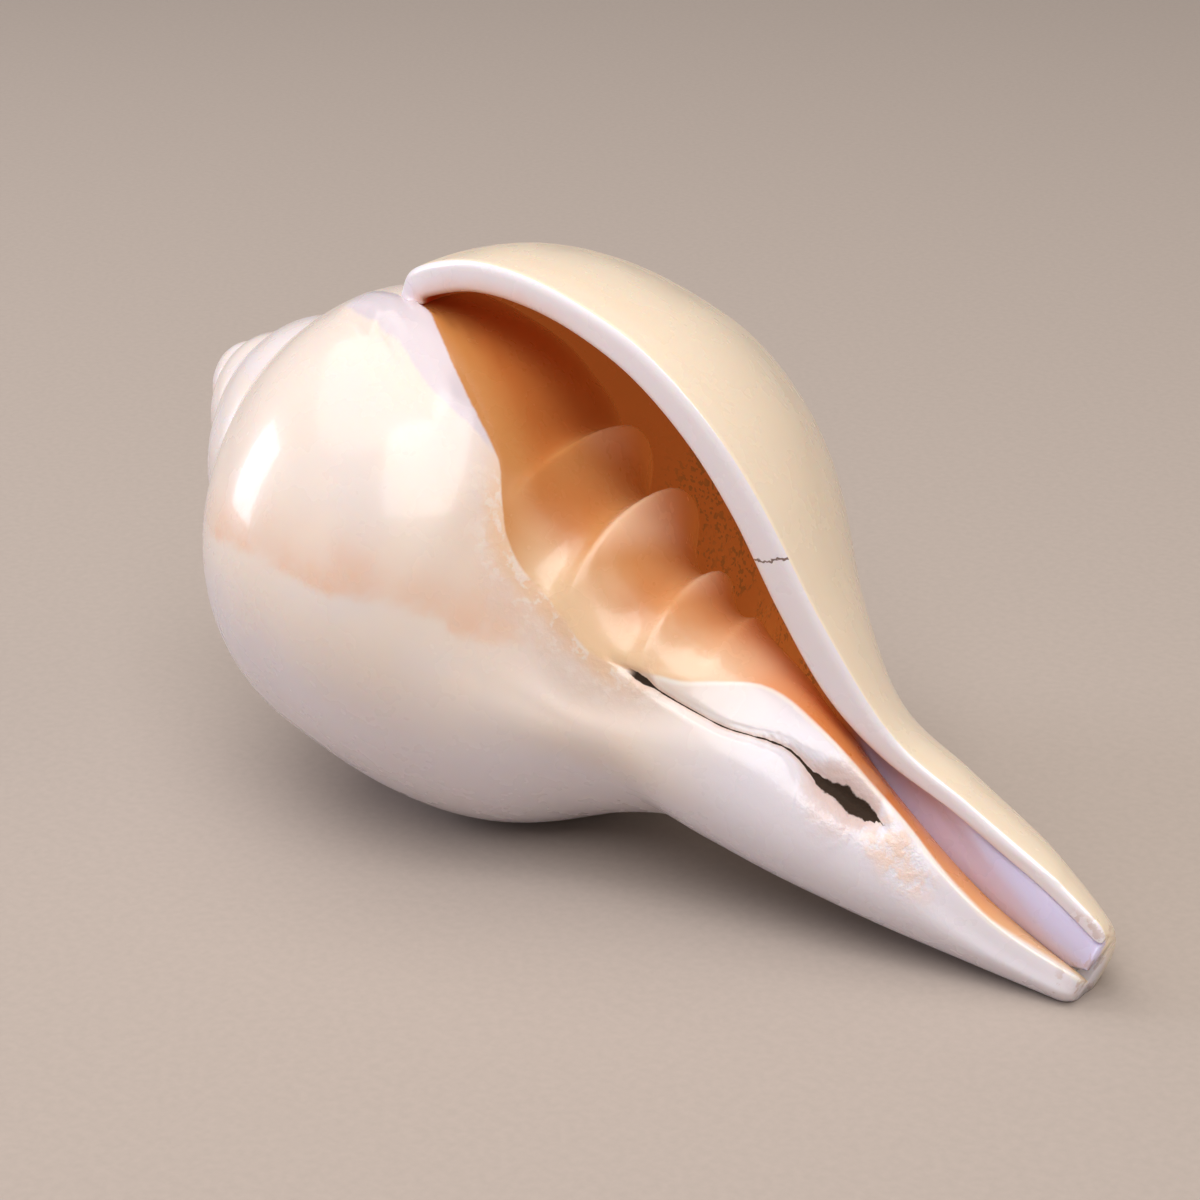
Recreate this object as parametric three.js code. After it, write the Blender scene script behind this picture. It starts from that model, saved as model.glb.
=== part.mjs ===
// Sacred chank shell (Turbinella pyrum), polished, with a ground outer lip. Lengths in mm.
// The shell is drawn round its own axis, apex to canal tip, and then laid down: canal tip
// toward +X, mouth up and toward -Y, resting on two worn flats at z = 0.
import * as THREE from 'three';

const DEG = Math.PI / 180;
const TURN = 360;                      // growth angle of one whorl, degrees; 0 is the lip

// Driving dimensions -------------------------------------------------------------------
const LENGTH = 150;                    // apex to canal tip along the axis
const LAST_WHORL_GROWTH = 1.42;        // size gained over the last whorl
const SPIRE_GROWTH = 1.77;             // size gained over each earlier whorl
const SPIRE_TURNS = 4.2;               // whorls drawn before they are too small to see
const MOUTH_TURNS = 1.05;              // how far the hollow runs back inside
const AXIS_DOWN = 18.2;                // degrees the axis falls toward the tip
const ROLL = -6.6;                     // degrees the lip leans back from upright
const CANAL_SIDE = [-5.4, -5.8];       // how far the tip bends off the axis: lip way, mouth way
const WORN_DEPTH = 0.95;               // depth of the worn flats it rests on

// Outline of the last whorl at the lip, [radius, height from apex], after the seam
const WHORL = [[33.2, 35], [38.9, 42.8], [42.2, 52], [43.5, 62], [43.2, 73], [39.9, 84], [34.2, 93.4]];
// The last whorl isn't quite even: shares of the radius, at each outline point, that it swells
// toward the lip and is flatter underneath
const SWELL = [0.03, 0.03, 0.027, 0.025, 0.02, 0.01, 0];
const FLATTER = [0, 0, 0.01, 0.04, 0.06, 0.05, 0.025];
const SEAM = 2.5;                      // place on the outline the next whorl is laid over
const SEAM_INSIDE = 3.1;               // place on it where the inside of the next whorl starts
const FOLD_STEPS = 4;                  // outline points from there over the folds
const FOLD_REACH = 47;                 // and the height they take
const CANAL_STEPS = 3;                 // outline points on down to the tip
const LAST = WHORL.length + FOLD_STEPS + CANAL_STEPS;

// Wall thickness at each outline point, then across the canal wall by height
const WALL = [4.0, 4.2, 4.2, 4.2, 4.7, 5.1, 5.4];
const CANAL_WALL = [[86, 5.6], [92, 6.6], [98, 8], [104, 7.6], [110, 6.5], [114, 5], [120, 3.1],
  [135, 2.8], [150, 2.5]];
// Radius by height: the outer lip, the edge of the inner lip, the back of the canal
const OUTER_LIP = [[86, 38.8], [94, 33.8], [104, 24.6], [113, 17.2], [119, 14.8], [127, 13.7],
  [138, 12.3], [143, 11.3], [150, 9.3], [156, 7], [165, 4], [200, 2]];
const INNER_LIP = [[70, 20], [90, 14.6], [105, 12.6], [120, 10.6], [135, 7.4], [150, 4.4]];
const CANAL_BACK = [[70, 20], [90, 15], [105, 12.8], [120, 10.6], [135, 7], [150, 2.9]];
const OVAL = 0.11;                     // how far the canal is from round
const OVAL_AT = 67;                    // degrees of its long way
// Degrees the edge of the inner lip lies ahead of the outer lip, by height
const INNER_LIP_AT = [[34, 0], [44, 8], [62, 22], [67, 34], [72, 42], [83, 53], [91, 43],
  [97, 27], [104, 11], [112, 14], [124, 26], [134, 43], [142, 49], [150, 43]];
// The columella behind that edge: its radius by height, and the degrees it takes to get there
const COLUMELLA = [[49, 29.1], [56, 26], [62, 20], [67, 16.2], [73, 13.8], [79, 11.8], [88, 10.2],
  [96, 11.2], [101, 10.6], [105, 9.2], [109, 8], [114, 7.3], [121, 5.6], [134, 3.3], [150, 1.8]];
const COLUMELLA_IN = [[60, 55], [90, 55], [100, 50], [110, 42], [114, 32], [121, 27], [134, 20], [150, 14]];
// Degrees behind the lip at which the floor of the hollow lies, by height
const FLOOR = [[58, 420], [70, 320], [80, 250], [88, 190], [96, 130], [104, 80], [110, 45],
  [114, 32], [121, 27], [134, 20], [150, 14]];
// The four folds: height, how far they stand out, half width toward the apex and the tip
const FOLDS = [[65.6, 5.2, 1.5, 5], [77.4, 7.2, 2, 5], [88.8, 4, 1.5, 3.6], [96, 1.7, 1.2, 2.4]];
const CREST = 0.3;                     // how round the crests of the folds are

// Columns go back from the lip; the same steps are used in every whorl
const STEPS = [0, 5, 10, 15, 20, 26, 33];
for (let d = 43; d < TURN; d += 10.5) STEPS.push(d);
const PER_TURN = STEPS.length;
// Rows go from the seam to the canal tip
const SPIRE_ROWS = [0, 0.5, 1, 1.5, 2, SEAM];
const SHELF_ROWS = [2.65, 2.8, 2.95, SEAM_INSIDE];
const BODY_ROWS = [3.6, 4.1, 4.6, 5.1, 5.6, 6.1, 6.5, 6.75, 6.95, 7.15, 7.4, 7.7, 8, 8.15, 8.3, 8.5,
  8.8, 9.15, 9.4, 9.6, 9.8, 10.1, 10.3, 10.45, 10.7, 11, 11.5, 12, 12.6, 13.2, 13.7, 13.9, LAST];
const ROWS = [...SPIRE_ROWS, ...SHELF_ROWS, ...BODY_ROWS];
const SEAM_ROW = SPIRE_ROWS.length - 1;
const INSIDE_ROW = SEAM_ROW + SHELF_ROWS.length;
const INSIDE_ROWS = [0, 0.5, 1, 1.5, 2, 2.6, 3.2, 3.8, 4.5, 5.2, 5.9, 6.6, 7.3, 8, 8.7, 9.4, 10.1,
  10.8, 11.5, 12.2, 13, 13.6, 13.9, LAST];

// Small helpers ------------------------------------------------------------------------
const clamp01 = (x) => Math.min(1, Math.max(0, x));
const smooth = (x) => clamp01(x) ** 2 * (3 - 2 * clamp01(x));
const mix = (a, b, t) => a + (b - a) * t;

// A smooth curve through [x, value] points
function curve(points, x) {
  const n = points.length - 1;
  if (x <= points[0][0]) return points[0][1];
  if (x >= points[n][0]) return points[n][1];
  let i = 0;
  while (x > points[i + 1][0]) i += 1;
  const [x0, y0] = points[i];
  const [x1, y1] = points[i + 1];
  const slope = (j) => {
    const [a, b] = [points[Math.max(j - 1, 0)], points[Math.min(j + 1, n)]];
    return (b[1] - a[1]) / (b[0] - a[0]);
  };
  const w = x1 - x0;
  const t = (x - x0) / w;
  return (2 * t ** 3 - 3 * t ** 2 + 1) * y0 + (t ** 3 - 2 * t ** 2 + t) * w * slope(i)
    + (3 * t ** 2 - 2 * t ** 3) * y1 + (t ** 3 - t ** 2) * w * slope(i + 1);
}

// A smooth line through evenly counted [radius, height] points, at place u
function along(points, u) {
  const n = points.length - 1;
  const i = Math.min(Math.floor(u), n - 1);
  const t = u - i;
  const at = (j, k) => {
    if (j < 0) return 2 * points[0][k] - points[1][k];
    if (j > n) return 2 * points[n][k] - points[n - 1][k];
    return points[j][k];
  };
  return [0, 1].map((k) => 0.5 * (2 * at(i, k) + (at(i + 1, k) - at(i - 1, k)) * t
    + (2 * at(i - 1, k) - 5 * at(i, k) + 4 * at(i + 1, k) - at(i + 2, k)) * t ** 2
    + (3 * at(i, k) - at(i - 1, k) - 3 * at(i + 1, k) + at(i + 2, k)) * t ** 3));
}

// Growth -------------------------------------------------------------------------------
function size(angle) {
  const last = LAST_WHORL_GROWTH ** (Math.max(angle, -TURN) / TURN);
  return last * SPIRE_GROWTH ** (Math.min(angle + TURN, 0) / TURN);
}

const SEAM_POINT = along([WHORL[0], ...WHORL], SEAM);

function whorlOutline(angle) {
  const before = size(angle - TURN);
  const now = size(angle);
  const lip = smooth((angle + 120) / 70);
  const under = smooth(1 - Math.abs(angle + 236) / 58);
  return [SEAM_POINT.map((v) => v * before), ...WHORL.map(([r, h], k) => [
    r * now * (1 + SWELL[k] * lip - FLATTER[k] * under), h * now])];
}

// Radius of the outside of the canal: a rounded tube that opens out into the lip
function canalRadius(angle, height) {
  const round = clamp01((angle + TURN) / TURN);
  const tube = mix(curve(INNER_LIP, height), curve(CANAL_BACK, height), smooth(round / 0.5))
    * (1 + OVAL * Math.cos(2 * (angle - OVAL_AT) * DEG) * smooth(round / 0.15));
  const now = size(angle);
  const lip = now * curve(OUTER_LIP, height / now) * smooth(round / 0.2)
    * (1 - 0.5 * (1 - smooth(round / 0.25)));
  return (tube ** 8 + lip ** 8) ** (1 / 8);
}

const floorHeight = (depth) => {
  const turned = FLOOR.map(([h, d]) => [d, h]).reverse();
  return depth <= turned[0][0] ? LENGTH : curve(turned, depth);
};

// Heights of the outline points below the whorl
function lowerHeights(angle, from, bottom) {
  const reach = FOLD_REACH * size(angle);
  const to = Math.max(bottom, from + reach + 1.5);
  const heights = [];
  for (let k = 1; k <= FOLD_STEPS; k += 1) heights.push(from + reach * k / FOLD_STEPS);
  for (let k = 1; k <= CANAL_STEPS; k += 1) heights.push(mix(from + reach, to, k / CANAL_STEPS));
  return heights;
}

function outline(angle) {
  const body = whorlOutline(angle);
  const [, from] = body[body.length - 1];
  const bottom = angle < -TURN ? floorHeight(-(angle + TURN)) : LENGTH;
  for (const h of lowerHeights(angle, from, bottom)) {
    body.push([canalRadius(Math.max(angle, -TURN), h), h]);
  }
  return body;
}

// Radius of the columella at a depth behind the inner lip
function columellaRadius(depth, height, outside) {
  let now = LAST_WHORL_GROWTH ** (-Math.max(depth - 46, 0) / TURN);
  now = mix(now, 1, smooth((height - 95) / 15));
  const inside = now * curve(COLUMELLA, height / now);
  const part = clamp01(depth / curve(COLUMELLA_IN, height));
  const eased = mix(smooth(part), part, smooth((height - 100) / 14));
  return mix(outside, inside, eased * smooth((height / now - 52) / 8));
}

function foldHeight(depth, height) {
  let total = 0;
  for (const [at, out, apexSide, tipSide] of FOLDS) {
    const off = height - at * LAST_WHORL_GROWTH ** (-depth / TURN);
    total += out * Math.exp(CREST - Math.hypot(off / (off > 0 ? tipSide : apexSide), CREST));
  }
  return total * smooth((depth + 8) / 60);
}

// The tip's end is rounded over its last 2 mm
const tipRound = (h) => 1.2 * (1 - Math.sqrt(1 - (0.98 * clamp01((h - LENGTH + 1.8) / 1.8)) ** 2));

// Columns near the inner lip follow its edge round the shell
function turned(angle, height) {
  const from = angle + TURN;
  return angle + curve(INNER_LIP_AT, height) * (1 - smooth(from > 0 ? from / 110 : -from / 80));
}

// Laying the shell down ------------------------------------------------------------------
const axis = new THREE.Vector3(Math.cos(AXIS_DOWN * DEG), 0, -Math.sin(AXIS_DOWN * DEG));
const lipWay = new THREE.Vector3(Math.sin(AXIS_DOWN * DEG), 0, Math.cos(AXIS_DOWN * DEG))
  .multiplyScalar(Math.cos(ROLL * DEG)).add(new THREE.Vector3(0, Math.sin(ROLL * DEG), 0));
const mouthWay = new THREE.Vector3().crossVectors(axis, lipWay);

function place(radius, height, angle) {
  const bend = smooth((height / LENGTH - 0.5) / 0.5);
  return new THREE.Vector3()
    .addScaledVector(axis, height)
    .addScaledVector(lipWay, radius * Math.cos(angle * DEG) + bend * CANAL_SIDE[0])
    .addScaledVector(mouthWay, radius * Math.sin(angle * DEG) + bend * CANAL_SIDE[1]);
}

// The outside of the whorls and, behind the inner lip, the columella with its folds
function grown(angle, u) {
  let [r, h] = along(outline(angle), u);
  const depth = -(angle + TURN);
  if (u > SEAM_INSIDE) {
    if (depth >= 0) r = columellaRadius(depth, h, r);
    r += foldHeight(depth, h);
  }
  return place(r - tipRound(h), h, turned(angle, h));
}

// The inside of the outer wall, from where it meets the whorl before to the canal floor
function insideOutline(angle) {
  const out = outline(angle);
  const behind = outline(angle - TURN);
  const line = [along(behind, SEAM_INSIDE)];
  for (let k = 1; k <= WHORL.length; k += 1) {
    const [dr, dh] = [out[k + 1][0] - out[k - 1][0], out[k + 1][1] - out[k - 1][1]];
    const t = WALL[k - 1] * (0.7 + 0.3 * size(angle)) / Math.hypot(dr, dh);
    line.push([out[k][0] - dh * t, out[k][1] + dr * t]);
  }
  const [, from] = line[WHORL.length];
  const [, to] = behind[LAST];
  const steps = FOLD_STEPS + CANAL_STEPS;
  for (let k = 1; k <= steps; k += 1) {
    const h = mix(from, to, k / steps);
    const now = size(angle);
    const wall = canalRadius(angle, h) - curve(CANAL_WALL, h / now);
    const column = columellaRadius(-angle, h, canalRadius(-TURN, h));
    const open = clamp01(1 + angle / curve(FLOOR, h)) ** 0.75;
    line.push([mix(column, Math.max(wall, column), open), h]);
  }
  return line;
}

function inside(angle, u) {
  const [r, h] = along(insideOutline(angle), u);
  const low = clamp01((u - WHORL.length) / (LAST - WHORL.length)) ** 2 * clamp01(-angle / 14);
  return place(r + tipRound(h), h, mix(angle, turned(angle - TURN, h) + TURN, low));
}

// Mesh -----------------------------------------------------------------------------------
const points = [];
const faces = [];
const add = (p) => points.push(p) - 1;

// Fills between two lines of points that run the same way
function fill(one, two) {
  let [i, j] = [0, 0];
  const gap = (a, b) => points[a].distanceTo(points[b]);
  while (i < one.length - 1 || j < two.length - 1) {
    const stepOne = j === two.length - 1
      || (i < one.length - 1 && gap(one[i + 1], two[j]) <= gap(one[i], two[j + 1]));
    const next = stepOne ? one[i + 1] : two[j + 1];
    const face = [two[j], one[i], next];
    if (new Set(face).size === 3) faces.push(face);
    if (stepOne) i += 1; else j += 1;
  }
}

// Fills between two lines with the same count of points
function strip(one, two) {
  for (let k = 0; k < one.length - 1; k += 1) {
    for (const face of [[two[k], one[k], one[k + 1]], [two[k], one[k + 1], two[k + 1]]]) {
      if (new Set(face).size === 3) faces.push(face);
    }
  }
}

const angleOf = (i) => -(Math.floor(i / PER_TURN) * TURN + STEPS[i % PER_TURN]);
const lastColumn = Math.round(SPIRE_TURNS * PER_TURN);
const mouthColumns = Math.round(MOUTH_TURNS * PER_TURN);

// The grown surface, column by column from the apex end, so that seams can be shared
const shell = [];
for (let i = lastColumn; i >= 0; i -= 1) {
  const rows = i > PER_TURN + mouthColumns ? SEAM_ROW + 1 : ROWS.length;
  shell[i] = [];
  for (let j = 0; j < rows; j += 1) {
    const seam = j === 0 && i + PER_TURN <= lastColumn;
    shell[i][j] = seam ? shell[i + PER_TURN][SEAM_ROW] : add(grown(angleOf(i), ROWS[j]));
  }
}
for (let i = 0; i < lastColumn; i += 1) {
  const spire = i >= PER_TURN;
  const end = spire ? SEAM_ROW + 1 : ROWS.length;
  strip(shell[i].slice(0, end), shell[i + 1].slice(0, end));
  if (spire && i < PER_TURN + mouthColumns) {
    strip(shell[i].slice(INSIDE_ROW), shell[i + 1].slice(INSIDE_ROW));
  }
}

// The inside of the outer wall, from the lip back to the end of the hollow; the canal's end
// is open only near the lip
const CLOSED_AT = 14;
const lining = [];
for (let i = 0; i <= mouthColumns; i += 1) {
  const behind = shell[i + PER_TURN];
  const closed = -angleOf(i) >= CLOSED_AT;
  lining[i] = INSIDE_ROWS.map((u, j) => {
    if (j === 0) return behind[INSIDE_ROW];
    if (closed && u === LAST) return behind[ROWS.length - 1];
    return add(inside(angleOf(i), u));
  });
}
for (let i = 0; i < mouthColumns; i += 1) strip(lining[i + 1], lining[i]);
fill(shell[PER_TURN + mouthColumns].slice(INSIDE_ROW), lining[mouthColumns]);

// The ground face of the lip, with its edges eased
const across = [[0.14, 0.5], [0.5, 0.6], [0.84, 0.4]];
const face = across.map(([part, proud], k) => ROWS.map((u, j) => {
  if (j === 0) return shell[PER_TURN][SEAM_ROW + 1 + k];
  const p = new THREE.Vector3().lerpVectors(grown(0, u), inside(0, u), part);
  return add(p.addScaledVector(mouthWay, proud * smooth(u)));
}));
strip(face[0], shell[0]);
strip(face[1], face[0]);
strip(face[2], face[1]);
fill(lining[0], face[2]);

// The end of the canal
const end = ROWS.length - 1;
const openColumns = STEPS.findIndex((step) => step >= CLOSED_AT);
const outsideEnd = [];
for (let i = PER_TURN; i >= 0; i -= 1) outsideEnd.push(shell[i][end]);
const insideEnd = [];
for (let i = 0; i <= openColumns; i += 1) insideEnd.push(shell[PER_TURN + i][end]);
for (let i = openColumns - 1; i >= 0; i -= 1) insideEnd.push(lining[i][INSIDE_ROWS.length - 1]);
insideEnd.push(face[2][end], face[1][end], face[0][end], shell[0][end]);
fill(outsideEnd, insideEnd);

// The apex
const rim = [];
for (let i = lastColumn - PER_TURN; i < lastColumn; i += 1) rim.push(shell[i][0]);
for (let j = 0; j <= SEAM_ROW; j += 1) rim.push(shell[lastColumn][j]);
const apex = add(new THREE.Vector3().addScaledVector(axis, 0.3 * points[rim[0]].dot(axis)));
for (let k = 0; k < rim.length - 1; k += 1) faces.push([rim[k], rim[k + 1], apex]);

// Worn flats: what is lower than the floor is rubbed away
const box = new THREE.Box3().setFromPoints(points);
const floor = box.min.z + WORN_DEPTH;
for (const p of points) p.z = Math.max(p.z, floor);
const middle = new THREE.Box3().setFromPoints(points).getCenter(new THREE.Vector3());
for (const p of points) p.sub(new THREE.Vector3(middle.x, middle.y, floor));

const geometry = new THREE.BufferGeometry();
geometry.setAttribute('position', new THREE.Float32BufferAttribute(points.flatMap((p) => p.toArray()), 3));
geometry.setIndex(faces.flat());
geometry.computeVertexNormals();

const mesh = new THREE.Mesh(geometry, new THREE.MeshStandardMaterial({
  name: 'polished_shell', color: 0xf4e8dc, roughness: 0.25, metalness: 0,
}));
mesh.name = 'shell';

const group = new THREE.Group();
group.name = 'chank_shell';
group.add(mesh);

export default group;
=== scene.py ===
"""A polished chank shell, grown turn by turn round its axis, on a plain pale floor."""

import bpy
import numpy as np
from mathutils import Matrix, Vector


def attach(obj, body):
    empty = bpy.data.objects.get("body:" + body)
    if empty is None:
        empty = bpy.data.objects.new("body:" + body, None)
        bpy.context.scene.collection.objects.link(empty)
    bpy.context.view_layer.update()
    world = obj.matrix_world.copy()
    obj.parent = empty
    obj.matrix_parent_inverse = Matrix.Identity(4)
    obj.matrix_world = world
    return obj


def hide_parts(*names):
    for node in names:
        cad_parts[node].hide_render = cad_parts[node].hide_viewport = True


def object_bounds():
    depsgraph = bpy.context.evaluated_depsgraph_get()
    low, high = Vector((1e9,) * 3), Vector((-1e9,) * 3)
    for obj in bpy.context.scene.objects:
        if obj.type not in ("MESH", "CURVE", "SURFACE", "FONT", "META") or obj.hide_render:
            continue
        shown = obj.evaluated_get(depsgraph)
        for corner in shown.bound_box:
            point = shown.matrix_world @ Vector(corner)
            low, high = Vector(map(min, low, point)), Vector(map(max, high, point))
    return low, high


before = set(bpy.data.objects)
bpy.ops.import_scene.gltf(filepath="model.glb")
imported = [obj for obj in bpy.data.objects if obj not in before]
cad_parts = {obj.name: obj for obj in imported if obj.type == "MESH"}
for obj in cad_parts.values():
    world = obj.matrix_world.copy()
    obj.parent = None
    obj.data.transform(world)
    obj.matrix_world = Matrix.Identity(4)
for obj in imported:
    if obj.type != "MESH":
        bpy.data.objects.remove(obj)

bl_info = {
    "name": "Chank shell",
    "version": (1, 0, 0),
    "blender": (4, 5, 0),
    "location": "3D View > Sidebar > Shell",
    "description": "Grows a polished chank shell and sets it on a pale floor",
    "category": "Add Mesh",
}

CAD_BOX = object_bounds()
MM = 0.001
TURN = 360.0

# Growth, in mm and degrees round the axis. Angle 0 is the outer lip and minus goes back in time
LENGTH = 150.0
LAST_WHORL_GROWTH = 1.42
SPIRE_GROWTH = 1.77
SPIRE_TURNS = 4.2
MOUTH_TURNS = 1.05
AXIS_DOWN = 18.2
ROLL = -6.6
CANAL_SIDE = (-5.4, -5.8)
LAID_AT = (72.5936, 3.5515, -52.8391)
FACET_SLACK = 0.9968  # keeps the smooth surface inside the faceted solid
CANAL_CLOSED_AT = 14  # degrees behind the lip, from where lining and columella meet
TIP_ROUND = 1.8
TIP_ROUND_IN = 1.2
LIP_CROWN = 0.58  # how far the ground face of the lip swells, in mm
LIP_CRACK_HEIGHT = 98.5
CRACK_WANDER = 1.6  # how far noise moves the crack up and down, in mm

# Outline of the last whorl, radius and height from the apex
WHORL = [(33.2, 35), (38.9, 42.8), (42.2, 52), (43.5, 62), (43.2, 73), (39.9, 84), (34.2, 93.4)]
# Shares of the radius that the last whorl swells toward the lip and is flatter underneath
SWELL = np.array([0.03, 0.03, 0.027, 0.025, 0.02, 0.01, 0])
FLATTER = np.array([0, 0, 0.01, 0.04, 0.06, 0.05, 0.025])
SEAM = 2.5
SEAM_INSIDE = 3.1
FOLD_STEPS = 4
FOLD_REACH = 47
CANAL_STEPS = 3
LAST = len(WHORL) + FOLD_STEPS + CANAL_STEPS
WALL = [4.0, 4.2, 4.2, 4.2, 4.7, 5.1, 5.4]

# Curves of (height, value)
CANAL_WALL = [(86, 5.6), (92, 6.6), (98, 8), (104, 7.6), (110, 6.5), (114, 5), (120, 3.1),
              (135, 2.8), (150, 2.5)]
OUTER_LIP = [(86, 38.8), (94, 33.8), (104, 24.6), (113, 17.2), (119, 14.8), (127, 13.7),
             (138, 12.3), (143, 11.3), (150, 9.3), (156, 7), (165, 4), (200, 2)]
INNER_LIP = [(70, 20), (90, 14.6), (105, 12.6), (120, 10.6), (135, 7.4), (150, 4.4)]
CANAL_BACK = [(70, 20), (90, 15), (105, 12.8), (120, 10.6), (135, 7), (150, 2.9)]
INNER_LIP_AT = [(34, 0), (44, 8), (62, 22), (67, 34), (72, 42), (83, 53), (91, 43), (97, 27),
                (104, 11), (112, 14), (124, 26), (134, 43), (142, 49), (150, 43)]
COLUMELLA = [(49, 29.1), (56, 26), (62, 20), (67, 16.2), (73, 13.8), (79, 11.8), (88, 10.2),
             (96, 11.2), (101, 10.6), (105, 9.2), (109, 8), (114, 7.3), (121, 5.6),
             (134, 3.3), (150, 1.8)]
COLUMELLA_IN = [(60, 55), (90, 55), (100, 50), (110, 42), (114, 32), (121, 27), (134, 20),
                (150, 14)]
FLOOR = [(58, 420), (70, 320), (80, 250), (88, 190), (96, 130), (104, 80), (110, 45),
         (114, 32), (121, 27), (134, 20), (150, 14)]
CREST = 0.3  # how round the crests of the folds are
OVAL = 0.11
OVAL_AT = 67
# Folds: height, how far out, half width toward the apex and toward the tip
FOLDS = [(65.6, 5.2, 1.5, 5), (77.4, 7.2, 2, 5), (88.8, 4, 1.5, 3.6), (96, 1.7, 1.2, 2.4)]


def smooth(x):
    x = np.clip(x, 0, 1)
    return x * x * (3 - 2 * x)


def mix(a, b, t):
    return a + (b - a) * t


def curve(points, x):
    """A smooth curve through (x, value) points."""
    xs, ys = np.array(points, float).T
    slope = np.gradient(ys)
    slope[1:-1] = (ys[2:] - ys[:-2]) / (xs[2:] - xs[:-2])
    slope[0] = (ys[1] - ys[0]) / (xs[1] - xs[0])
    slope[-1] = (ys[-1] - ys[-2]) / (xs[-1] - xs[-2])
    x = np.clip(x, xs[0], xs[-1])
    i = np.clip(np.searchsorted(xs, x, side="right") - 1, 0, len(xs) - 2)
    w = xs[i + 1] - xs[i]
    t = (x - xs[i]) / w
    return ((2 * t**3 - 3 * t**2 + 1) * ys[i] + (t**3 - 2 * t**2 + t) * w * slope[i]
            + (3 * t**2 - 2 * t**3) * ys[i + 1] + (t**3 - t**2) * w * slope[i + 1])


def along(points, u):
    """A smooth line through evenly counted points, at the places u."""
    points = np.asarray(points, float)
    n = points.shape[-2] - 1
    first = 2 * points[..., :1, :] - points[..., 1:2, :]
    last = 2 * points[..., -1:, :] - points[..., -2:-1, :]
    held = np.concatenate([first, points, last], axis=-2)
    u = np.asarray(u, float)
    i = np.minimum(np.floor(u).astype(int), n - 1)
    t = (u - i)[:, None]
    a, b, c, d = (held[..., i + k, :] for k in range(4))
    return 0.5 * (2 * b + (c - a) * t + (2 * a - 5 * b + 4 * c - d) * t**2
                  + (3 * b - a - 3 * c + d) * t**3)


def size(angle):
    last = LAST_WHORL_GROWTH ** (np.maximum(angle, -TURN) / TURN)
    return last * SPIRE_GROWTH ** (np.minimum(angle + TURN, 0) / TURN)


SEAM_POINT = along([WHORL[0], *WHORL], [SEAM])[0]


def canal_radius(angle, height):
    """Outside of the canal: a rounded tube that opens out into the lip."""
    part = np.clip((angle + TURN) / TURN, 0, 1)
    tube = mix(curve(INNER_LIP, height), curve(CANAL_BACK, height), smooth(part / 0.5))
    tube = tube * (1 + OVAL * np.cos(np.radians(2 * (angle - OVAL_AT))) * smooth(part / 0.15))
    now = size(angle)
    lip = now * curve(OUTER_LIP, height / now) * smooth(part / 0.2)
    lip = lip * (1 - 0.5 * (1 - smooth(part / 0.25)))
    return (tube**8 + lip**8) ** (1 / 8)


def outline(angle):
    """Outline points of the shell at each growth angle, (angles, points, 2)."""
    now = size(angle)[:, None, None]
    before = size(angle - TURN)[:, None, None]
    whorl = np.array(WHORL) * now
    lip = smooth((angle + 120) / 70)[:, None]
    under = smooth(1 - np.abs(angle + 236) / 58)[:, None]
    whorl[..., 0] *= 1 + SWELL * lip - FLATTER * under
    body = np.concatenate([SEAM_POINT * before, whorl], axis=1)
    start = body[:, -1, 1]
    deep = np.array(FLOOR[::-1])[:, ::-1]
    floor = np.where(-(angle + TURN) <= deep[0, 0], LENGTH, curve(deep, -(angle + TURN)))
    bottom = np.where(angle < -TURN, floor, LENGTH)
    reach = FOLD_REACH * size(angle)
    end = np.maximum(bottom, start + reach + 1.5)
    heights = [start + reach * k / FOLD_STEPS for k in range(1, FOLD_STEPS + 1)]
    heights += [mix(start + reach, end, k / CANAL_STEPS) for k in range(1, CANAL_STEPS + 1)]
    heights = np.stack(heights, axis=1)
    radii = canal_radius(np.maximum(angle, -TURN)[:, None], heights)
    return np.concatenate([body, np.stack([radii, heights], axis=2)], axis=1)


def columella_radius(depth, height, outside):
    now = LAST_WHORL_GROWTH ** (-np.maximum(depth - 46, 0) / TURN)
    now = mix(now, 1, smooth((height - 95) / 15))
    inner = now * curve(COLUMELLA, height / now)
    part = np.clip(depth / curve(COLUMELLA_IN, height), 0, 1)
    eased = mix(smooth(part), part, smooth((height - 100) / 14))
    return mix(outside, inner, eased * smooth((height / now - 52) / 8))


def fold_height(depth, height):
    total = 0
    for at, out, apex_side, tip_side in FOLDS:
        off = height - at * LAST_WHORL_GROWTH ** (-depth / TURN)
        off = off / np.where(off > 0, tip_side, apex_side)
        total = total + out * np.exp(CREST - np.hypot(off, CREST))
    return total * smooth((depth + 8) / 60)


def tip_round(height):
    near = np.clip((height - LENGTH + TIP_ROUND) / TIP_ROUND, 0, 1)
    return TIP_ROUND_IN * (1 - np.sqrt(1 - (0.98 * near) ** 2))


def turned(angle, height):
    """Columns near the inner lip follow its edge round the shell."""
    off = angle + TURN
    return angle + curve(INNER_LIP_AT, height) * (
        1 - smooth(np.where(off > 0, off / 110, -off / 80)))


def laid_axes():
    down, roll = np.radians(AXIS_DOWN), np.radians(ROLL)
    axis = np.array([np.cos(down), 0, -np.sin(down)])
    lip = np.array([np.sin(down) * np.cos(roll), np.sin(roll), np.cos(down) * np.cos(roll)])
    return axis, lip, np.cross(axis, lip)


AXIS, LIP_WAY, MOUTH_WAY = laid_axes()


def place(radius, height, angle):
    bend = smooth((height / LENGTH - 0.5) / 0.5)
    a = np.radians(angle)
    radius = radius * FACET_SLACK
    lip = radius * np.cos(a) + bend * CANAL_SIDE[0]
    mouth = radius * np.sin(a) + bend * CANAL_SIDE[1]
    return (height[..., None] * AXIS + lip[..., None] * LIP_WAY + mouth[..., None] * MOUTH_WAY
            - np.array(LAID_AT))


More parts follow.
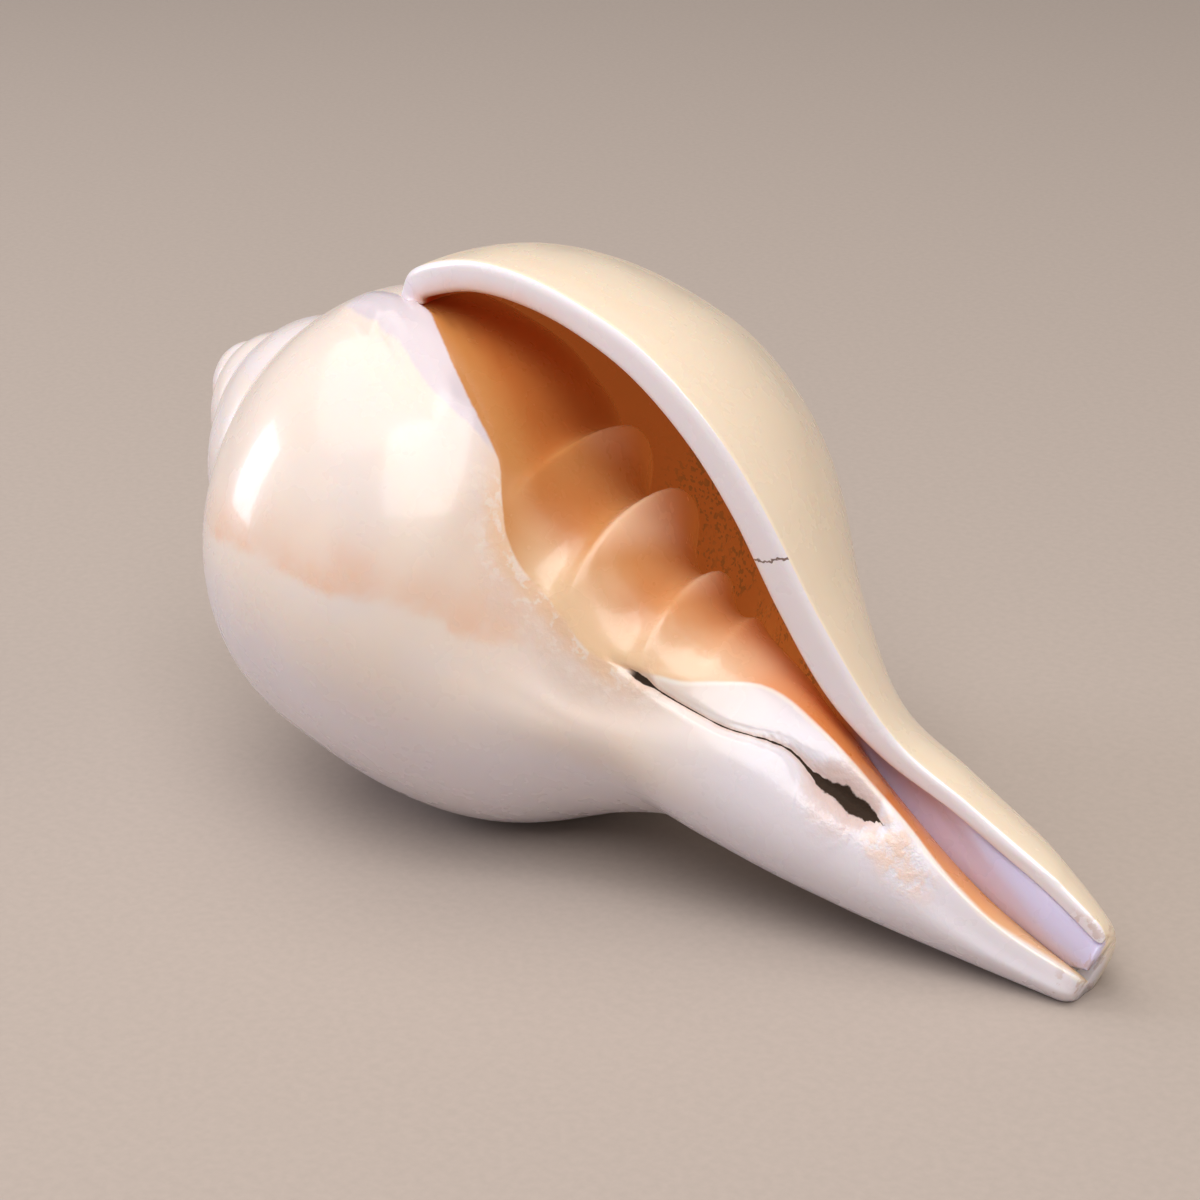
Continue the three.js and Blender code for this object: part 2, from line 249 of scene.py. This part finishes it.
def grown(angle, u):
    """The outside of the whorls and, behind the inner lip, the columella with its folds."""
    r, h = np.moveaxis(along(outline(angle), u), 2, 0)
    depth = -(angle + TURN)[:, None]
    low = u > SEAM_INSIDE
    r = np.where(low & (depth >= 0), columella_radius(depth, h, r), r)
    r = np.where(low, r + fold_height(depth, h), r)
    at = turned(angle[:, None], h)
    return r - tip_round(h), h, at


def inside_outline(angle):
    """The inside of the outer wall, down to the floor of the canal."""
    out, behind = outline(angle), outline(angle - TURN)
    line = [along(behind, [SEAM_INSIDE])[:, 0]]
    for k in range(1, len(WHORL) + 1):
        run = out[:, k + 1] - out[:, k - 1]
        thick = WALL[k - 1] * (0.7 + 0.3 * size(angle)) / np.hypot(run[:, 0], run[:, 1])
        line.append(out[:, k] + np.stack([-run[:, 1], run[:, 0]], axis=1) * thick[:, None])
    start, end = line[-1][:, 1], behind[:, LAST, 1]
    steps = FOLD_STEPS + CANAL_STEPS
    for k in range(1, steps + 1):
        h = mix(start, end, k / steps)
        wall = canal_radius(angle, h) - curve(CANAL_WALL, h / size(angle))
        column = columella_radius(-angle, h, canal_radius(np.full_like(h, -TURN), h))
        opened = np.clip(1 + angle / curve(FLOOR, h), 0, 1) ** 0.75
        line.append(np.stack([mix(column, np.maximum(wall, column), opened), h], axis=1))
    return np.stack(line, axis=1)


def inside(angle, u):
    r, h = np.moveaxis(along(inside_outline(angle), u), 2, 0)
    low = np.clip((u - len(WHORL)) / (LAST - len(WHORL)), 0, 1) ** 2
    low = low * np.clip(-angle / CANAL_CLOSED_AT, 0, 1)[:, None]
    a = angle[:, None]
    return r + tip_round(h), h, mix(a, turned(a - TURN, h) + TURN, low)


class Surface:
    """Points, faces and named values, gathered sheet by sheet."""

    def __init__(self):
        self.points, self.faces, self.values, self.count = [], [], {}, 0

    def sheet(self, points, **values):
        """Adds a grid of points and returns their numbers."""
        shape = points.shape[:-1]
        numbers = np.arange(self.count, self.count + int(np.prod(shape))).reshape(shape)
        self.count += numbers.size
        self.points.append(points.reshape(-1, 3))
        for name, value in values.items():
            self.values.setdefault(name, []).append(np.broadcast_to(value, shape).ravel())
        return numbers

    def strip(self, one, two):
        self.faces += np.stack([two[:-1], one[:-1], one[1:], two[1:]], axis=1).tolist()

    def fill(self, one, two):
        """Fills between two lines whose counts differ."""
        at = np.concatenate(self.points)
        i = j = 0
        while i < len(one) - 1 or j < len(two) - 1:
            step_one = j == len(two) - 1 or (i < len(one) - 1 and np.linalg.norm(
                at[one[i + 1]] - at[two[j]]) <= np.linalg.norm(at[one[i]] - at[two[j + 1]]))
            corner = one[i + 1] if step_one else two[j + 1]
            self.faces.append([two[j], one[i], corner])
            i, j = (i + 1, j) if step_one else (i, j + 1)


# What marks the surface: lines of (height, degrees ahead of the lip), widths and depths in mm
INNER_EDGE = [(34, 0), (40, 3.5), (44.1, 7.3), (48.5, 11.5), (53.5, 15.5), (57.5, 18.5), (61.7, 22),
              (64.4, 28), (67.6, 36), (71, 41), (74.7, 43.5), (78, 47), (83.2, 52), (88, 48),
              (91.1, 43.4), (93.7, 38.6), (97, 27.4), (100.5, 14.7), (103.7, 10.8), (107.9, 11.9),
              (112.8, 14.6), (123.9, 26), (129.1, 35.3), (134, 43.4), (138.7, 49), (150, 43)]
STRIP_EDGE = [(28, 12), (34, 14), (40.7, 15.5), (47.1, 19), (52.2, 21), (56.1, 20.7), (61.9, 22)]
BAND_EDGE = [(20, 88), (32, 83.3), (37.9, 79.2), (48.6, 74.2), (55.6, 72.6), (65.2, 67.5),
             (72.2, 68.2), (74.7, 64.5), (84, 62)]
CHINK = [(84, 50), (88.3, 49), (92.2, 49), (97, 47), (101.2, 44), (108, 33), (111.9, 36),
         (115.6, 35.5), (121.6, 36.5), (125, 37)]
CHINK_WIDTH = [(84, 0), (88, 0.5), (92, 0.6), (101, 0.5), (106, 0.5), (110, 0.9), (113, 1.9),
               (117, 2.1), (120.5, 1.5), (123.5, 0)]
# Width of the near-black painted shade along the chink, in mm
DARK_WIDTH = [(85, 0.02), (87.5, 0.35), (89.5, 0.4), (91, 0.14), (101, 0.1), (106, 0.13),
              (111, 0.25), (113, 0.8), (117, 1.2), (119.8, 0.8), (121.6, 0.1), (124, 0.02)]
CALLUS = [(26, 0), (30, 1.4), (38, 1.6), (46, 1.0), (54, 0.4), (60, 0)]
CHINK_DEPTH = [(84, 0), (88, 0.7), (101, 0.8), (108, 1.1), (113, 2.2), (118, 2.2), (123, 0)]


def past(line, height, ahead, radius):
    """How far a place lies short of a line's angle, in mm round the shell."""
    return (curve(line, height) - ahead) * np.radians(1) * radius


def turn_steps(per_turn):
    return np.concatenate([[0, 0.8, 1.8], np.arange(3, TURN, TURN / per_turn)])


def shell_surface(per_turn):
    steps = turn_steps(per_turn)
    turn = len(steps)
    last, mouth = round(SPIRE_TURNS * turn), round(MOUTH_TURNS * turn)
    number = np.arange(last + 1)
    angles = -(number // turn * TURN + steps[number % turn])
    across = np.array([0.02, 0.06, 0.12, 0.2, 0.32, 0.45, 0.58, 0.7, 0.8, 0.88, 0.94, 0.98])
    rows = np.concatenate([
        np.linspace(0, SEAM, 22), SEAM + (SEAM_INSIDE - SEAM) * across, [SEAM_INSIDE],
        np.linspace(3.2, 7, 36), np.linspace(7.045, 11, 88), np.linspace(11.08, 13.6, 34),
        [13.66, 13.72, 13.78, 13.83, 13.88, 13.92, 13.95, 13.975, 13.99, LAST]])
    seam_row, inside_row = 21, 22 + len(across)
    surface = Surface()

    def values(radius, height, at, **more):
        ahead = at + TURN
        found = {
            "height": height, "ahead": ahead,
            "edge": np.clip(past(INNER_EDGE, height, ahead, radius), -40, 40),
            "strip": np.clip(past(STRIP_EDGE, height, ahead, radius), -40, 40),
            "band": np.clip(past(BAND_EDGE, height, ahead, radius), -60, 60),
            "chink": np.clip(past(CHINK, height, ahead, radius) / curve(DARK_WIDTH, height),
                             -20, 20),
            "inner": 0.0, "lining": 0.0, "cut": 0.0, "across": 0.0, "crest": 0.0}
        found.update(more)
        return found

    # The grown surface: the last whorl and the wall behind it, then the spire
    deep = turn + mouth
    r, h, at = grown(angles[:deep + 1], rows)
    off = past(CHINK, h, at + TURN, r) / np.maximum(curve(CHINK_WIDTH, h), 0.2)
    near = (angles[:deep + 1, None] > -TURN - 40) & (angles[:deep + 1, None] < -TURN + 90)
    r = r - np.where(near, curve(CHINK_DEPTH, h) * np.exp(-off**2), 0)
    ahead = at + TURN
    callus = smooth(past(STRIP_EDGE, h, ahead, r) / 0.9 + 0.5) * curve(CALLUS, h)
    r = r + callus * smooth(ahead / 4) * (1 - smooth((ahead - 40) / 20))
    wall = (number[:deep + 1, None] >= turn) & (rows > SEAM_INSIDE - 0.01)
    crest = fold_height(-(angles[:deep + 1, None] + TURN), h) / 6 * wall
    shell = surface.sheet(place(r, h, at), **values(
        r, h, at, inner=np.where(wall, 1.0, 0.0), crest=crest))
    spire_rows = rows[:seam_row + 1]
    r, h, at = grown(angles[deep:], spire_rows)
    spire = surface.sheet(place(r, h, at), **values(r, h, at))
    apex_height = 0.3 * h[-1 - turn, 0]
    for i in range(turn):
        surface.strip(shell[i], shell[i + 1])
    for i in range(turn, deep):
        surface.strip(shell[i][:seam_row + 1], shell[i + 1][:seam_row + 1])
        surface.strip(shell[i][inside_row:], shell[i + 1][inside_row:])
    for i in range(last - deep):
        surface.strip(spire[i], spire[i + 1])

    # The lining of the outer wall; it starts on the whorl before and ends on the canal floor
    lining_rows = np.concatenate([
        np.linspace(0, 1, 8)[:-1], np.linspace(1, 7, 44), np.linspace(7.08, 13.6, 76),
        [13.7, 13.8, 13.88, 13.93, 13.97, LAST]])
    r, h, at = inside(angles[:mouth + 1], lining_rows)
    found = values(r, h, at, inner=1.0, lining=1.0)
    at_points = place(r, h, at)
    grid = np.concatenate(surface.points)
    at_points[:, 0] = grid[shell[turn:deep + 1, inside_row]]
    closed = angles[:mouth + 1] <= -CANAL_CLOSED_AT
    at_points[closed, -1] = grid[shell[turn:deep + 1, -1]][closed]
    lining = surface.sheet(at_points, **found)
    for i in range(mouth):
        surface.strip(lining[i + 1], lining[i])
    surface.fill(shell[deep, inside_row:], lining[mouth])

    # The ground face of the outer lip
    zero = np.zeros(1)
    r, h, at = grown(zero, rows)
    outer = place(r, h, at)[0]
    r2, h2, at2 = inside(zero, rows)
    inner = place(r2, h2, at2)[0]
    proud = LIP_CROWN * (1 - (2 * across - 1) ** 6)
    line = mix(outer, inner, across[:, None, None])
    line = line + proud[:, None, None] * smooth(rows)[None, :, None] * MOUTH_WAY
    line[:, 0] = grid[shell[turn, seam_row + 1:inside_row]]
    found = values(r, h, at, cut=1.0, across=np.broadcast_to(across[:, None], line.shape[:2]))
    found = {name: np.broadcast_to(value, line.shape[:2]) for name, value in found.items()}
    face = surface.sheet(line, **found)
    surface.strip(face[0], shell[0])
    for one, two in zip(face[1:], face[:-1]):
        surface.strip(one, two)
    surface.fill(lining[0], face[-1])

    # The end of the canal and the apex
    opened = int(np.argmax(angles <= -CANAL_CLOSED_AT))
    outside_end = shell[turn::-1, -1]
    inside_end = [*shell[turn:turn + opened + 1, -1], *lining[opened - 1::-1, -1],
                  *face[::-1, -1], shell[0, -1]]
    surface.fill(outside_end, np.array(inside_end))
    rim = [*spire[len(spire) - 1 - turn:, 0], *spire[-1, 1:]]
    grid = np.concatenate(surface.points)
    top = (apex_height * AXIS - np.array(LAID_AT))[None]
    apex = surface.sheet(top, **{name: rows_[-1][-1] for name, rows_ in surface.values.items()})
    surface.faces += [[a, b, int(apex[0])] for a, b in zip(rim[:-1], rim[1:])]
    return surface


def mesh_from(surface, name):
    points = np.clip(np.concatenate(surface.points) * MM, *CAD_BOX)
    used = np.zeros(len(points), bool)
    for face in surface.faces:
        used[face] = True
    number = np.cumsum(used) - 1
    mesh = bpy.data.meshes.new(name)
    mesh.from_pydata(points[used], [], [number[face].tolist() for face in surface.faces])
    for key, blocks in surface.values.items():
        layer = mesh.attributes.new(key, "FLOAT", "POINT")
        layer.data.foreach_set("value", np.concatenate(blocks)[used].astype(np.float32))
    mesh.validate()
    mesh.shade_smooth()
    piece = bpy.data.objects.new(name, mesh)
    bpy.context.collection.objects.link(piece)
    return piece


def linear(code):
    """An sRGB hex colour as linear red, green, blue and alpha."""
    parts = [int(code[k:k + 2], 16) / 255 for k in (1, 3, 5)]
    return [c / 12.92 if c <= 0.04045 else ((c + 0.055) / 1.055) ** 2.4 for c in parts] + [1.0]


def add(tree, kind, inputs=None, out=0, stops=None, **settings):
    """Adds one node with its settings and links, and gives one of its outputs."""
    node = tree.nodes.new(kind)
    for name, value in settings.items():
        setattr(node, name, value)
    if stops:
        ends = node.color_ramp.elements
        while len(ends) < len(stops):
            ends.new(0.5)
        for end, (at, colour) in zip(ends, stops):
            end.position, end.color = at, linear(colour)
    for key, value in (inputs or {}).items():
        if isinstance(value, bpy.types.NodeSocket):
            tree.links.new(value, node.inputs[key])
        else:
            node.inputs[key].default_value = value
    return node.outputs[out] if len(node.outputs) else node


def polished_shell(colours):
    """Aragonite shell, polished: a clear porcelain gloss over cream, peach and orange layers."""
    material = bpy.data.materials.new("polished_shell")
    material.use_nodes = True
    tree = material.node_tree
    tree.nodes.clear()

    def put(kind, inputs=None, out=0, **settings):
        return add(tree, kind, inputs, out, **settings)

    def held(part, *limits):
        """A strength where every limit (value, none at, full at) holds."""
        for value, none, full, *rough in limits:
            if rough:
                value = put("ShaderNodeMath", {0: rough[0], 1: rough[1], 2: value},
                            operation="MULTIPLY_ADD")
                none, full = none + rough[1] / 2, full + rough[1] / 2
            here = put("ShaderNodeMapRange", {0: value, 1: none, 2: full},
                       interpolation_type="SMOOTHSTEP")
            part = put("ShaderNodeMath", {0: here, 1: part}, operation="MULTIPLY")
        return part

    def coat(base, colour, strength, *limits):
        """Lays a colour over the base where the limits hold."""
        part = held(strength, *limits)
        colour = linear(colour) if isinstance(colour, str) else colour
        return put("ShaderNodeMix", {0: part, 6: base, 7: colour}, 2, data_type="RGBA")

    height, ahead, edge, strip, band, chink, inner, lining, cut, across, crest = (
        put("ShaderNodeAttribute", out=2, attribute_name=name) for name in (
            "height", "ahead", "edge", "strip", "band", "chink", "inner", "lining", "cut",
            "across", "crest"))
    where = put("ShaderNodeTexCoord", out=3)
    # Noises by the size of their features: 22, 7, 2, 0.8 and 0.6 mm
    cloud, patch, fleck, speck, grain = (
        put("ShaderNodeTexNoise", {"Vector": where, "Scale": 1 / (mm * MM), "Detail": detail,
                                   "Roughness": 0.6})
        for mm, detail in ((22, 3), (7, 3), (2, 4), (0.8, 1), (0.6, 3)))
    # Growth lines: noise drawn out along the lip, 4 mm apart round the shell
    grown_at = put("ShaderNodeCombineXYZ", {0: put(
        "ShaderNodeMath", {0: height, 1: 0.02}, operation="MULTIPLY"), 1: put(
        "ShaderNodeMath", {0: ahead, 1: 0.16}, operation="MULTIPLY")})
    growth = put("ShaderNodeTexNoise", {"Vector": grown_at, "Scale": 1.0, "Detail": 2.0})
    # Polishing scratches: fine noise drawn out round the canal
    scratched_at = put("ShaderNodeCombineXYZ", {0: put(
        "ShaderNodeMath", {0: height, 1: 0.9}, operation="MULTIPLY"), 1: put(
        "ShaderNodeMath", {0: ahead, 1: 0.12}, operation="MULTIPLY")})
    scratch = put("ShaderNodeTexNoise", {"Vector": scratched_at, "Scale": 1.0, "Detail": 3.0,
                                         "Distortion": 0.8})

    # Outside: white, bluish below, cream toward the outer lip, with one broken peach band
    out = linear(colours.body)
    out = coat(out, "#F3E3D6", 0.7, (cloud, 0.42, 0.6))
    out = coat(out, colours.shade, 0.75, (ahead, 82, 112, cloud, 30), (ahead, 250, 200))
    out = coat(out, colours.shade, 0.8, (height, 92, 108, cloud, 10), (ahead, 200, 150))
    out = coat(out, "#E4DFEA", 0.5, (ahead, 0, -60), (patch, 0.4, 0.6))
    out = coat(out, colours.cream, 0.9, (ahead, 170, 300, cloud, 60))
    out = coat(out, "#F6DFC0", 0.45, (ahead, 290, 345), (growth, 0.2, 0.8))
    out = coat(out, colours.band, 0.4, (band, -1, 1.6, patch, 4), (band, 13, 1, cloud, 14),
               (height, 26, 36), (height, 84, 70))
    out = coat(out, colours.band, 0.55, (band, -0.6, 1, fleck, 3), (band, 9, 1, cloud, 8),
               (height, 26, 36), (height, 84, 70), (patch, 0.35, 0.6))
    out = coat(out, "#F1D3BE", 0.4, (edge, -16, -2, patch, 8), (height, 56, 66), (height, 98, 88))
    out = coat(out, "#F0C9A4", 0.75, (edge, -4, -0.8, patch, 5), (height, 58, 66),
               (height, 92, 84))
    out = coat(out, "#F4E6DC", 0.7, (edge, -9, -1, patch, 6), (fleck, 0.5, 0.6),
               (height, 57, 64), (height, 94, 88))
    out = coat(out, "#EFC7A8", 0.6, (edge, -8, -4, patch, 5), (edge, 0, -1.2, patch, 2),
               (height, 119, 123, patch, 3), (height, 132, 126, patch, 6), (fleck, 0.4, 0.6))
    out = coat(out, "#DBD1DA", 0.9, (strip, -0.2, 0.4, fleck, 0.6), (height, 62, 58),
               (height, 28, 31), (ahead, -1, 1))

    # Inside: orange with painted highlight on the fold crests and painted shade between them, brown
    # in the depth that is partly painted shade, lilac in the canal
    along_shell = put("ShaderNodeMath", {0: height, 1: 1 / LENGTH}, operation="MULTIPLY")
    warm = put("ShaderNodeValToRGB", {0: along_shell}, stops=[
        (0.26, "#C58548"), (0.4, "#CF9054"), (0.5, "#DB9C62"), (0.6, "#E8A873"),
        (0.66, "#F2B48A"), (0.72, "#E79458"), (0.8, "#DE8648"), (0.9, "#EBA86C"), (0.98, "#F3D0A4")])
    # Painted shade in the valleys between the folds
    warm = coat(warm, "#C26A2C", 0.6, (crest, 0.45, 0.1), (edge, 2, 8), (height, 96, 86))
    # Painted highlight on the crests of the folds
    warm = coat(warm, "#FFD9B8", 0.85, (crest, 0.45, 0.85))
    warm = coat(warm, "#F6DCBA", 0.7, (edge, 12, 1, patch, 5), (height, 66, 74),
                (height, 102, 94))
    # Brown deep in the mouth: partly the shell's own colour, partly painted shade of the recess
    warm = coat(warm, colours.depth, 0.6, (ahead, -60, -160), (height, 118, 100))
    roof = put("ShaderNodeValToRGB", {0: along_shell}, stops=[
        (0.25, "#D27228"), (0.45, "#CE883E"), (0.62, "#D4924A"), (0.7, "#EA9350"),
        (0.8, "#EDA05E"), (0.88, "#F0B67E"), (1.0, "#F5DDB8")])
    # Brown deep in the mouth: partly the shell's own colour, partly painted shade of the recess
    roof = coat(roof, colours.depth, 0.6, (ahead, 330, 240), (height, 112, 100))
    roof = coat(roof, "#DAD2F2", 0.95, (height, 106, 114))
    roof = coat(roof, "#E8C6B8", 0.9, (ahead, 356.5, 359.5), (height, 112, 104))
    # Deep red-orange under the upper lip: partly the shell's own colour, partly painted shade and
    # painted light let through the thin wall
    roof = coat(roof, "#E4521C", 0.8, (height, 64, 44), (ahead, 300, 335), (ahead, 359.5, 358))
    inside_colour = coat(warm, roof, 1.0, (lining, 0.3, 0.7))
    inside_colour = coat(inside_colour, "#6E2A0E", 0.75, (speck, 0.52, 0.6),
                         (patch, 0.42, 0.56), (height, 112, 96), (height, 52, 60),
                         (lining, 0.3, 0.7), (ahead, 345, 315))
    shell = coat(out, inside_colour, 1.0, (edge, -0.2, 0.25, fleck, 0.5),
                 (put("ShaderNodeMath", {0: ahead, 1: inner}, operation="MAXIMUM"), 0.3, 0.8))
    shell = coat(shell, inside_colour, 1.0, (lining, 0.3, 0.7))
    shell = coat(shell, "#FBF3EC", 0.8, (edge, -0.7, -0.1), (edge, 0.5, 0.0), (height, 88, 92),
                 (ahead, -1, 1))
    shell = coat(shell, "#F6F0F8", 0.95, (cut, 0.2, 0.8))
    shell = coat(shell, "#EDC3B0", 0.7, (cut, 0.2, 0.8), (across, 0.3, 0.9, patch, 0.5),
                 (height, 70, 48))
    crack = put("ShaderNodeMath", {0: fleck, 1: CRACK_WANDER, 2: height},
                operation="MULTIPLY_ADD")
    crack = put("ShaderNodeMath", {0: crack, 1: LIP_CRACK_HEIGHT + CRACK_WANDER / 2},
                operation="SUBTRACT")
    crack = put("ShaderNodeMath", {0: crack}, operation="ABSOLUTE")
    shell = coat(shell, "#6E4A38", 0.9, (crack, 0.16, 0.06), (cut, 0.2, 0.8))
    shell = coat(shell, "#E8C4AC", 0.5, (cut, 0.2, 0.8), (across, 0.9, 1.0), (height, 112, 100))
    beside = put("ShaderNodeMath", {0: chink}, operation="ABSOLUTE")
    shell = coat(shell, "#D9AE94", 0.5, (beside, 6, 1, fleck, 4), (height, 86, 90),
                 (height, 122, 120), (ahead, -2, 2), (ahead, 100, 90))
    # Painted shade: near-black brown along the chink stands in for the dark gap of the crack and its
    # hole, and is made matte below
    painted_chink_shade = held(1.0, (beside, 1.1, 0.8, fleck, 1.6), (height, 87, 88.5), (height, 122.4, 121.4),
                   (ahead, -2, 2), (ahead, 100, 90))
    shell = coat(shell, "#33200F", painted_chink_shade)
    shell = coat(shell, "#B58C6C", 0.35, (height, 146.5, 148.5), (fleck, 0.54, 0.6))

    # Wear and polish: faint growth lines, a waviness left by the wheel, wrinkles by the chink
    front = ((ahead, -2, 4), (ahead, 130, 110))
    rise = 0.0
    for noise, high in (
            (growth, 0.008), (patch, 0.01), (grain, 0.0015),
            (fleck, held(0.35, (height, 86, 92), (height, 121.5, 119), (beside, 9, 2), *front)),
            (fleck, held(0.16, (height, 56, 66), (height, 96, 90), (edge, -8, -3),
                         (edge, 1.5, -0.5), *front)),
            (fleck, held(0.3, (height, 119, 123), (height, 134, 128), (edge, -9, -5),
                         (edge, 0, -1.5), *front)),
            (scratch, held(0.05, (height, 96, 106), (height, 146, 136), (edge, -1, -4),
                           *front)),
            (scratch, held(0.02, (height, 30, 38), (height, 66, 56), (ahead, 44, 52),
                           (ahead, 104, 90)))):
        rise = put("ShaderNodeMath", {0: noise, 1: high, 2: rise}, operation="MULTIPLY_ADD")
    bump = put("ShaderNodeBump", {"Height": rise, "Strength": 1.0, "Distance": MM})
    gloss = put("ShaderNodeMapRange", {0: patch, 1: 0.3, 2: 0.7, 3: 0.2, 4: 0.34})
    gloss = put("ShaderNodeMath", {0: painted_chink_shade, 1: 0.6, 2: gloss}, operation="MULTIPLY_ADD")
    clear = put("ShaderNodeMath", {0: painted_chink_shade, 1: -0.3, 2: 0.3}, operation="MULTIPLY_ADD")
    # Painted light: an emission glow deep in the mouth stands in for daylight let through the thin
    # wall
    painted_glow = coat([0, 0, 0, 1], "#C07C3A", 1.0, (lining, 0.3, 0.7), (ahead, 358, 340),
                   (height, 116, 100))
    painted_glow = coat(painted_glow, "#C07C3A", 0.7, (inner, 0.3, 0.7), (ahead, -15, -70),
                   (height, 100, 90))
    surface = put("ShaderNodeBsdfPrincipled", {
        "Base Color": shell, "Roughness": gloss, "IOR": 1.53, "Normal": bump,
        "Subsurface Weight": 0.2, "Subsurface Radius": (1.0, 0.42, 0.2),
        "Subsurface Scale": 0.004, "Coat Weight": clear, "Coat Roughness": 0.07,
        "Emission Color": painted_glow, "Emission Strength": 0.2})
    put("ShaderNodeOutputMaterial", {"Surface": surface})
    return material


def seamless_paper(colour):
    """Matte studio paper: flat warm grey with a faint fibre."""
    material = bpy.data.materials.new("seamless_paper")
    material.use_nodes = True
    tree = material.node_tree
    tree.nodes.clear()
    where = add(tree, "ShaderNodeTexCoord", out=3)
    # Paper fibre, drawn 1.2 mm coarse so that it shows
    fibre = add(tree, "ShaderNodeTexNoise", {"Vector": where, "Scale": 1 / (1.2 * MM),
                                             "Detail": 3.0})
    tone = add(tree, "ShaderNodeMapRange", {0: fibre, 1: 0.3, 2: 0.7, 3: 0.97, 4: 1.03})
    shade = add(tree, "ShaderNodeMix", {0: 1.0, 6: linear(colour), 7: tone}, 2,
                data_type="RGBA", blend_type="MULTIPLY")
    surface = add(tree, "ShaderNodeBsdfPrincipled", {"Base Color": shade, "Roughness": 0.9})
    add(tree, "ShaderNodeOutputMaterial", {"Surface": surface})
    return material


class ShellSettings(bpy.types.PropertyGroup):
    columns: bpy.props.IntProperty(
        name="Columns a turn", description="How finely each whorl is drawn", default=120,
        min=40, max=160)
    body: bpy.props.StringProperty(
        name="Body", description="White of the last whorl, sRGB hex", default="#ECE0DA")
    shade: bpy.props.StringProperty(
        name="Under side", description="Bluish white below the band, sRGB hex",
        default="#E6E2EE")
    cream: bpy.props.StringProperty(
        name="Lip side", description="Cream of the whorl near the lip, sRGB hex",
        default="#FAE8D0")
    band: bpy.props.StringProperty(
        name="Band", description="Peach of the spiral band, sRGB hex", default="#EEC0A2")
    # Brown deep in the mouth, partly the shell's own colour and partly painted shade of the recess
    depth: bpy.props.StringProperty(
        name="Depth", description="Brown deep inside the mouth, sRGB hex", default="#D88038")


class StageSettings(bpy.types.PropertyGroup):
    paper: bpy.props.StringProperty(
        name="Paper", description="Colour of the floor, sRGB hex", default="#B5A9A0")
    lens: bpy.props.FloatProperty(
        name="Lens", description="Focal length on a 36 mm sensor", default=87.35,
        unit="CAMERA")


class OBJECT_OT_chank_shell(bpy.types.Operator):
    """Grow the shell's smooth surface and give it its finish"""
    bl_idname = "object.chank_shell"
    bl_label = "Chank shell"

    def execute(self, context):
        colours = context.scene.chank_shell
        piece = mesh_from(shell_surface(colours.columns), "polished_chank")
        piece.data.materials.append(polished_shell(colours))
        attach(piece, "root")
        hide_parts("shell")
        return {"FINISHED"}


def soft_light(name, at, aim, size, power, colour):
    light = bpy.data.lights.new(name, "AREA")
    light.shape = "RECTANGLE"
    light.size, light.size_y = size
    light.energy = power
    light.color = linear(colour)[:3]
    piece = bpy.data.objects.new(name, light)
    bpy.context.collection.objects.link(piece)
    way = Vector(aim) - Vector(at)
    piece.matrix_world = Matrix.Translation(at) @ way.to_track_quat("-Z", "Y").to_matrix().to_4x4()


class OBJECT_OT_shell_stage(bpy.types.Operator):
    """Set the floor, the studio lights and the camera"""
    bl_idname = "object.shell_stage"
    bl_label = "Floor, lights and camera"

    def execute(self, context):
        settings = context.scene.shell_stage
        scene = context.scene
        mesh = bpy.data.meshes.new("paper_floor")
        side = 4.0
        mesh.from_pydata([(-side, -side, 0), (side, -side, 0), (side, side, 0), (-side, side, 0)],
                         [], [(0, 1, 2, 3)])
        floor = bpy.data.objects.new("paper_floor", mesh)
        mesh.materials.append(seamless_paper(settings.paper))
        scene.collection.objects.link(floor)

        soft_light("overhead_softbox", (-0.25, -0.1, 0.9), (0, 0, 0.03), (0.9, 0.9), 4.7, "#FFF6F0")
        soft_light("window", (-0.8, -0.4, 0.25), (-0.02, 0, 0.03), (0.26, 0.45), 2.6, "#EEF2FF")
        soft_light("front_fill", (0.5, -0.62, 1.25), (0, 0, 0.03), (1.1, 1.1), 14.6, "#FFFDFC")
        soft_light("side_card", (0.9, 0.35, 0.5), (0, 0, 0.03), (0.8, 0.8), 1.8, "#FFEFDC")
        world = bpy.data.worlds.new("studio")
        world.use_nodes = True
        world.node_tree.nodes["Background"].inputs["Color"].default_value = linear("#F3EFEC")
        world.node_tree.nodes["Background"].inputs["Strength"].default_value = 0.2
        scene.world = world
        scene.view_settings.view_transform = "Standard"

        lens = bpy.data.cameras.new("camera")
        lens.sensor_width = 36
        lens.lens = settings.lens
        lens.clip_start, lens.clip_end = 0.01, 20
        camera = bpy.data.objects.new("camera", lens)
        scene.collection.objects.link(camera)
        right = Vector((0.75473, 0.65579, -0.01760))
        up = Vector((-0.24909, 0.31129, 0.91709))
        turn = Matrix((right, up, right.cross(up))).transposed().to_4x4()
        camera.matrix_world = Matrix.Translation((0.222798, -0.258152, 0.181853)) @ turn
        scene.camera = camera
        return {"FINISHED"}


class VIEW3D_PT_chank_shell(bpy.types.Panel):
    """Lists the shell's settings and its two steps"""
    bl_idname = "VIEW3D_PT_chank_shell"
    bl_label = "Chank shell"
    bl_space_type = "VIEW_3D"
    bl_region_type = "UI"
    bl_category = "Shell"

    def draw(self, context):
        for group, operator in (("chank_shell", "object.chank_shell"),
                                ("shell_stage", "object.shell_stage")):
            settings = getattr(context.scene, group)
            for name in type(settings).__annotations__:
                self.layout.prop(settings, name)
            self.layout.operator(operator)


CLASSES = (ShellSettings, StageSettings, OBJECT_OT_chank_shell, OBJECT_OT_shell_stage,
           VIEW3D_PT_chank_shell)


def register():
    for each in CLASSES:
        bpy.utils.register_class(each)
    bpy.types.Scene.chank_shell = bpy.props.PointerProperty(type=ShellSettings)
    bpy.types.Scene.shell_stage = bpy.props.PointerProperty(type=StageSettings)


def unregister():
    del bpy.types.Scene.chank_shell
    del bpy.types.Scene.shell_stage
    for each in reversed(CLASSES):
        bpy.utils.unregister_class(each)


def main():
    register()
    bpy.ops.object.chank_shell()
    bpy.ops.object.shell_stage()


if __name__ == "__main__":
    main()
